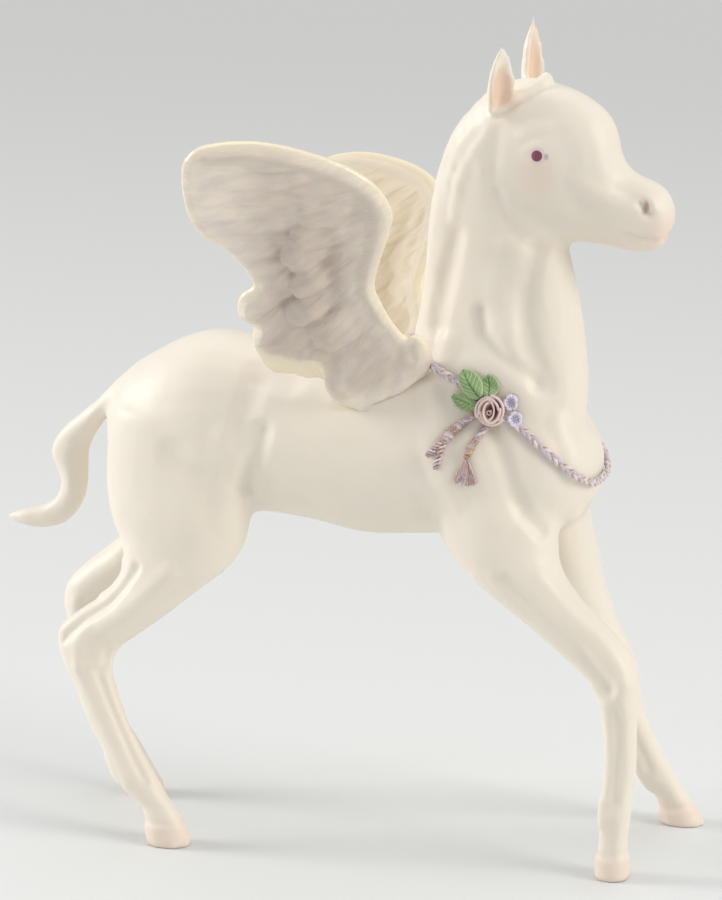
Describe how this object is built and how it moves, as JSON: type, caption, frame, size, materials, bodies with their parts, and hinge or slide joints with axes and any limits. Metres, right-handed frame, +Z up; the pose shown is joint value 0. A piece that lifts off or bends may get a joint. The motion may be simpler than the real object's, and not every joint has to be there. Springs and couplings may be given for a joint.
{
  "type": "pegasus figurine",
  "caption": "Standing winged foal ornament in bisque porcelain, pearl wings raised, with a braided garland, rose and tassels laid round the base of the neck.",
  "frame": {"origin": "middle of the bottom of the figure's bounding box, on the surface it stands on", "axes": "+X the way the foal faces, +Y to the foal's left, +Z up"},
  "size_m": [0.2256, 0.1618, 0.2648],
  "materials": {
    "bisque": "unglazed ivory bisque porcelain with a soft sheen and pink tints",
    "pearl": "porcelain under a pearl lustre, cream with mauve in its hollows",
    "braid_lilac": "bisque porcelain painted lilac and white with gold strands",
    "dusty_pink": "bisque porcelain painted dusty pink",
    "leaf_green": "bisque porcelain painted green with paler veins",
    "pale_lilac": "bisque porcelain painted pale lilac",
    "mauve": "bisque porcelain painted mauve with gold strands"
  },
  "bodies": {
    "root": {"foal_body": "bisque", "right_wing": "pearl", "left_wing": "pearl", "garland_braid": "braid_lilac", "rose": "dusty_pink", "leaf_1": "leaf_green", "leaf_2": "leaf_green", "leaf_3": "leaf_green", "blossom_1": "pale_lilac", "blossom_2": "pale_lilac", "tassel_1": "mauve", "tassel_2": "mauve"}
  },
  "joints": []
}
